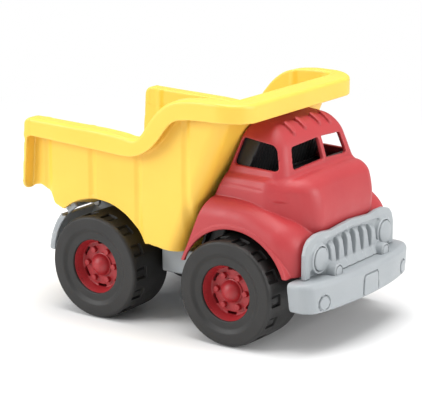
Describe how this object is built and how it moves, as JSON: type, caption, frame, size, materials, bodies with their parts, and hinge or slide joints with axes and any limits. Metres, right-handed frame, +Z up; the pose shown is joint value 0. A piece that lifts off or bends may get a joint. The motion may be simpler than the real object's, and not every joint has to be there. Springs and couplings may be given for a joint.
{
  "type": "toy dump truck",
  "caption": "Moulded toy dump truck with a rounded cab, a grille and bumper, large blocked tyres and a tipping open-tailed bed with an all-round rail.",
  "frame": {"origin": "on the ground, under the middle of the overall length and width", "axes": "+X towards the front bumper, +Y towards the left side of the truck, +Z up"},
  "size_m": [0.2739, 0.173, 0.186],
  "materials": {
    "red_plastic": "slightly mottled satin moulded plastic",
    "hub_red_plastic": "satin moulded plastic, deeper red",
    "yellow_plastic": "satin moulded plastic with soft highlights",
    "grey_plastic": "pale grey satin moulded plastic",
    "black_plastic": "dark moulded plastic insert",
    "tyre_plastic": "dark grey-black matte moulded tyre"
  },
  "bodies": {
    "truck_body": {"chassis": "grey_plastic", "bumper": "grey_plastic", "grille": "grey_plastic", "cab_shell": "red_plastic", "cab_interior": "black_plastic", "left_bed_pin": "grey_plastic", "right_bed_pin": "grey_plastic"},
    "front_wheels": {"front_axle": "black_plastic", "front_left_tyre": "tyre_plastic", "front_left_hub": "hub_red_plastic", "front_left_hub_cap": "hub_red_plastic", "front_right_tyre": "tyre_plastic", "front_right_hub": "hub_red_plastic", "front_right_hub_cap": "hub_red_plastic"},
    "rear_wheels": {"rear_axle": "black_plastic", "rear_left_tyre": "tyre_plastic", "rear_left_hub": "hub_red_plastic", "rear_left_hub_cap": "hub_red_plastic", "rear_right_tyre": "tyre_plastic", "rear_right_hub": "hub_red_plastic", "rear_right_hub_cap": "hub_red_plastic"},
    "bed": {"dump_bed": "yellow_plastic"}
  },
  "joints": [
    {"name": "front_roll", "type": "hinge", "parent": "truck_body", "child": "front_wheels", "pos_m": [0.059, 0, 0.0415], "axis": [0, 1, 0], "continuous": true},
    {"name": "rear_roll", "type": "hinge", "parent": "truck_body", "child": "rear_wheels", "pos_m": [-0.0655, 0, 0.0415], "axis": [0, 1, 0], "continuous": true},
    {"name": "bed_tip", "type": "hinge", "parent": "truck_body", "child": "bed", "pos_m": [-0.104, 0, 0.078], "axis": [0, -1, 0], "range_deg": [0, 45]}
  ]
}
